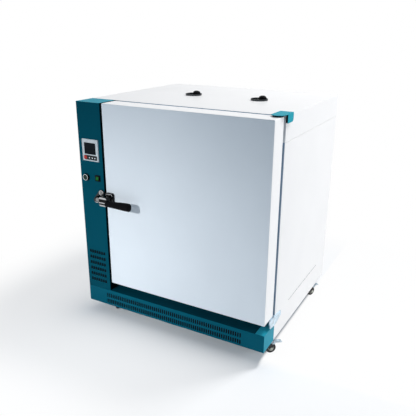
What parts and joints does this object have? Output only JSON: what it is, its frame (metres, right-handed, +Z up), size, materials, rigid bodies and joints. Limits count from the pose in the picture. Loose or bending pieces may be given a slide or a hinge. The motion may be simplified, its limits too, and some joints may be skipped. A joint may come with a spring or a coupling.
{
  "type": "forced-air drying oven",
  "caption": "Floor-standing drying oven on swivel casters: side-hinged door with a lever latch, control column at the left, shelves inside and exhaust dampers on the roof.",
  "frame": {"origin": "middle of the overall box, on the floor under the casters", "axes": "+Z up, +Y from the door towards the back panel, +X from the control column towards the hinge side"},
  "size_m": [1.0341, 0.9874, 1.1413],
  "materials": {
    "white_paint": "semi-gloss powder coat",
    "teal_paint": "semi-gloss powder coat",
    "door_paint": "semi-gloss powder coat",
    "galvanised_steel": "galvanised",
    "stainless": "brushed",
    "polished_steel": "polished",
    "black_plastic": "matte",
    "gloss_black": "gloss",
    "case_plastic": "satin",
    "red_plastic": "gloss",
    "green_plastic": "gloss",
    "motor_aluminium": "cast",
    "gasket_rubber": "matte",
    "mineral_wool": "fibrous",
    "wheel": "matte"
  },
  "bodies": {
    "cabinet": {"chassis": "galvanised_steel", "side_panel_left": "white_paint", "side_panel_right": "white_paint", "back_panel": "white_paint", "top_cover": "white_paint", "front_frame": "stainless", "control_column": "teal_paint", "plinth": "teal_paint", "inner_chamber": "stainless", "insulation": "mineral_wool", "chamber_floor": "stainless", "air_baffle": "stainless", "shelf_rails": "polished_steel", "shelf_lower": "polished_steel", "shelf_upper": "polished_steel", "heater_elements": "stainless", "fan_motor": "motor_aluminium", "temperature_probe": "stainless", "relay": "motor_aluminium", "cable_gland": "black_plastic", "controller_case": "case_plastic", "controller_screen": "gloss_black", "button_bezel": "polished_steel", "rocker_bezel": "black_plastic", "keeper_bracket": "polished_steel", "keeper_screws": "polished_steel", "upper_hinge_bracket": "teal_paint", "lower_hinge_bracket": "galvanised_steel", "exhaust_collars": "polished_steel", "caster_plates": "galvanised_steel"},
    "fan": {"fan_shaft": "stainless", "fan_wheel": "stainless"},
    "door": {"door_skin": "door_paint", "door_insulation": "mineral_wool", "door_liner": "stainless", "door_gasket": "gasket_rubber", "latch_base": "gloss_black"},
    "latch": {"latch_lever": "polished_steel", "latch_grip": "black_plastic"},
    "keeper_roller": {"keeper_roller": "polished_steel"},
    "push_button": {"push_button": "green_plastic"},
    "power_rocker": {"power_rocker": "green_plastic"},
    "set_key": {"set_key": "red_plastic"},
    "shift_key": {"shift_key": "black_plastic"},
    "down_key": {"down_key": "black_plastic"},
    "up_key": {"up_key": "black_plastic"},
    "damper_left": {"damper_plate_left": "polished_steel", "damper_knob_left": "black_plastic"},
    "damper_right": {"damper_plate_right": "polished_steel", "damper_knob_right": "black_plastic"},
    "caster_fork_front_left": {"caster_fork_front_left": "galvanised_steel"},
    "caster_wheel_front_left": {"caster_wheel_front_left": "wheel"},
    "caster_fork_front_right": {"caster_fork_front_right": "galvanised_steel"},
    "caster_wheel_front_right": {"caster_wheel_front_right": "wheel"},
    "caster_fork_rear_left": {"caster_fork_rear_left": "galvanised_steel"},
    "caster_wheel_rear_left": {"caster_wheel_rear_left": "wheel"},
    "caster_fork_rear_right": {"caster_fork_rear_right": "galvanised_steel"},
    "caster_wheel_rear_right": {"caster_wheel_rear_right": "wheel"},
    "caster_brake_front_right": {"caster_brake_front_right": "galvanised_steel"},
    "caster_brake_rear_right": {"caster_brake_rear_right": "galvanised_steel"}
  },
  "joints": [
    {"name": "door_hinge", "type": "hinge", "parent": "cabinet", "child": "door", "pos_m": [0.46028, -0.345, 0.204], "axis": [0, 0, 1], "range_deg": [0, 100]},
    {"name": "latch_turn", "type": "hinge", "parent": "door", "child": "latch", "pos_m": [-0.34672, -0.429, 0.659], "axis": [0, -1, 0], "range_deg": [0, 75]},
    {"name": "keeper_roller_spin", "type": "hinge", "parent": "cabinet", "child": "keeper_roller", "pos_m": [-0.40222, -0.4595, 0.66], "axis": [1, 0, 0], "continuous": true},
    {"name": "fan_spin", "type": "hinge", "parent": "cabinet", "child": "fan", "pos_m": [-0.31772, 0.021, 0.628], "axis": [1, 0, 0], "continuous": true},
    {"name": "power_rocker_tilt", "type": "hinge", "parent": "cabinet", "child": "power_rocker", "pos_m": [-0.41272, -0.427, 0.756], "axis": [1, 0, 0], "range_deg": [0, 16]},
    {"name": "push_button_press", "type": "slide", "parent": "cabinet", "child": "push_button", "axis": [0, 1, 0], "range_m": [0, 0.003], "stiffness_N_per_m": 600, "springref_m": -0.003},
    {"name": "set_key_press", "type": "slide", "parent": "cabinet", "child": "set_key", "axis": [0, 1, 0], "range_m": [0, 0.001], "stiffness_N_per_m": 400, "springref_m": -0.001},
    {"name": "shift_key_press", "type": "slide", "parent": "cabinet", "child": "shift_key", "axis": [0, 1, 0], "range_m": [0, 0.001], "stiffness_N_per_m": 400, "springref_m": -0.001},
    {"name": "down_key_press", "type": "slide", "parent": "cabinet", "child": "down_key", "axis": [0, 1, 0], "range_m": [0, 0.001], "stiffness_N_per_m": 400, "springref_m": -0.001},
    {"name": "up_key_press", "type": "slide", "parent": "cabinet", "child": "up_key", "axis": [0, 1, 0], "range_m": [0, 0.001], "stiffness_N_per_m": 400, "springref_m": -0.001},
    {"name": "damper_left_turn", "type": "hinge", "parent": "cabinet", "child": "damper_left", "pos_m": [-0.15572, 0.051, 1.118], "axis": [0, 0, 1], "range_deg": [0, 180]},
    {"name": "damper_right_turn", "type": "hinge", "parent": "cabinet", "child": "damper_right", "pos_m": [0.20928, 0.051, 1.118], "axis": [0, 0, 1], "range_deg": [0, 180]},
    {"name": "caster_swivel_front_left", "type": "hinge", "parent": "cabinet", "child": "caster_fork_front_left", "pos_m": [-0.42772, -0.328, 0.068], "axis": [0, 0, 1], "continuous": true},
    {"name": "caster_roll_front_left", "type": "hinge", "parent": "caster_fork_front_left", "child": "caster_wheel_front_left", "pos_m": [-0.40934, -0.34343, 0.025], "axis": [0.6428, 0.766, 0], "continuous": true},
    {"name": "caster_swivel_front_right", "type": "hinge", "parent": "cabinet", "child": "caster_fork_front_right", "pos_m": [0.45328, -0.328, 0.068], "axis": [0, 0, 1], "continuous": true},
    {"name": "caster_roll_front_right", "type": "hinge", "parent": "caster_fork_front_right", "child": "caster_wheel_front_right", "pos_m": [0.47054, -0.31133, 0.025], "axis": [-0.6947, 0.7193, 0], "continuous": true},
    {"name": "caster_brake_front_right_press", "type": "hinge", "parent": "caster_fork_front_right", "child": "caster_brake_front_right", "pos_m": [0.47486, -0.30716, 0.054], "axis": [-0.6947, 0.7193, 0], "range_deg": [0, 12]},
    {"name": "caster_swivel_rear_left", "type": "hinge", "parent": "cabinet", "child": "caster_fork_rear_left", "pos_m": [-0.42772, 0.295, 0.068], "axis": [0, 0, 1], "continuous": true},
    {"name": "caster_roll_rear_left", "type": "hinge", "parent": "caster_fork_rear_left", "child": "caster_wheel_rear_left", "pos_m": [-0.43972, 0.31578, 0.025], "axis": [-0.866, -0.5, 0], "continuous": true},
    {"name": "caster_swivel_rear_right", "type": "hinge", "parent": "cabinet", "child": "caster_fork_rear_right", "pos_m": [0.45328, 0.295, 0.068], "axis": [0, 0, 1], "continuous": true},
    {"name": "caster_roll_rear_right", "type": "hinge", "parent": "caster_fork_rear_right", "child": "caster_wheel_rear_right", "pos_m": [0.46304, 0.31693, 0.025], "axis": [-0.9135, 0.4067, 0], "continuous": true},
    {"name": "caster_brake_rear_right_press", "type": "hinge", "parent": "caster_fork_rear_right", "child": "caster_brake_rear_right", "pos_m": [0.46548, 0.32241, 0.054], "axis": [-0.9135, 0.4067, 0], "range_deg": [0, 12]}
  ]
}
